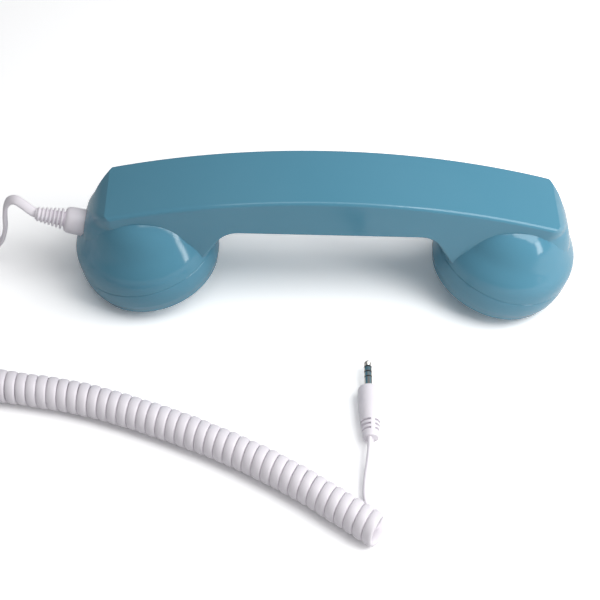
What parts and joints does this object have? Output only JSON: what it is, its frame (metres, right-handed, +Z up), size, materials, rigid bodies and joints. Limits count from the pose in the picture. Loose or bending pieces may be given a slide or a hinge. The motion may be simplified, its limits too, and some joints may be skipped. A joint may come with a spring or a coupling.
{
  "type": "telephone handset",
  "caption": "Retro telephone handset with a flat arched handle, screw-on ear and mouth caps, an answer button, and a white curly cord ending in a four-pole audio plug.",
  "frame": {"origin": "under the middle of the handset, on the surface that it lies on", "axes": "+X along the handle towards the ear cap, with the cord leaving at -X; +Z up, out of the flat back of the handle; -Y towards the side where the plug lies"},
  "size_m": [0.3086, 0.1708, 0.0636],
  "materials": {
    "body_plastic": "moulded, high gloss",
    "white_button": "moulded, satin",
    "white_rubber": "smooth, soft sheen",
    "bright_metal": "nickel plated",
    "steel": "plain",
    "copper": "enamelled wire",
    "dark_plastic": "moulded, matt",
    "film": "thin film",
    "dark_rubber": "soft",
    "cloth": "fine mesh",
    "red_wire": "insulated wire",
    "green_wire": "insulated wire",
    "board": "printed board",
    "pale_plastic": "moulded"
  },
  "bodies": {
    "handset": {"handset_body": "body_plastic", "receiver_case": "dark_plastic", "receiver_magnet": "steel", "receiver_voice_coil": "copper", "receiver_diaphragm": "film", "receiver_grid": "steel", "receiver_wires": "red_wire", "microphone_holder": "dark_plastic", "microphone_boot": "dark_rubber", "microphone_capsule": "steel", "microphone_wires": "green_wire", "balance_weight": "steel", "button_plate": "body_plastic", "plate_screws": "steel", "switch_board": "board", "board_screws": "steel", "switch_body": "dark_plastic", "cord_tail": "white_rubber", "strain_relief": "white_rubber", "handset_lead": "white_rubber", "curly_coil": "white_rubber", "plug_lead": "white_rubber", "plug_housing": "white_rubber", "plug_sleeve": "bright_metal", "plug_rings": "bright_metal", "plug_insulators": "dark_plastic", "plug_tip": "bright_metal"},
    "ear_seat": {"ear_gasket": "dark_rubber"},
    "ear_cap": {"ear_cap": "body_plastic", "ear_screen": "cloth"},
    "mouth_seat": {"mouth_gasket": "dark_rubber"},
    "mouth_cap": {"mouth_cap": "body_plastic", "mouth_screen": "cloth"},
    "button": {"answer_button": "white_button", "switch_plunger": "pale_plastic"}
  },
  "joints": [
    {"name": "ear_cap_travel", "type": "slide", "parent": "handset", "child": "ear_seat", "axis": [-0.2419, 0, -0.9703], "range_m": [0, 0.00451]},
    {"name": "ear_cap_turn", "type": "hinge", "parent": "ear_seat", "child": "ear_cap", "pos_m": [0.0783, 0, 0.02051], "axis": [-0.2419, 0, -0.9703], "range_deg": [0, 540]},
    {"name": "mouth_cap_travel", "type": "slide", "parent": "handset", "child": "mouth_seat", "axis": [0.2419, 0, -0.9703], "range_m": [0, 0.00451]},
    {"name": "mouth_cap_turn", "type": "hinge", "parent": "mouth_seat", "child": "mouth_cap", "pos_m": [-0.0783, 0, 0.02051], "axis": [0.2419, 0, -0.9703], "range_deg": [0, 540]},
    {"name": "button_press", "type": "slide", "parent": "handset", "child": "button", "axis": [0, 0, 1], "range_m": [0, 0.0008], "stiffness_N_per_m": 1200, "springref_m": -0.0005}
  ],
  "couplings": [
    {"joint": "ear_cap_travel", "follows": "ear_cap_turn", "m_per_rad": 0.00047746},
    {"joint": "mouth_cap_travel", "follows": "mouth_cap_turn", "m_per_rad": 0.00047746}
  ]
}
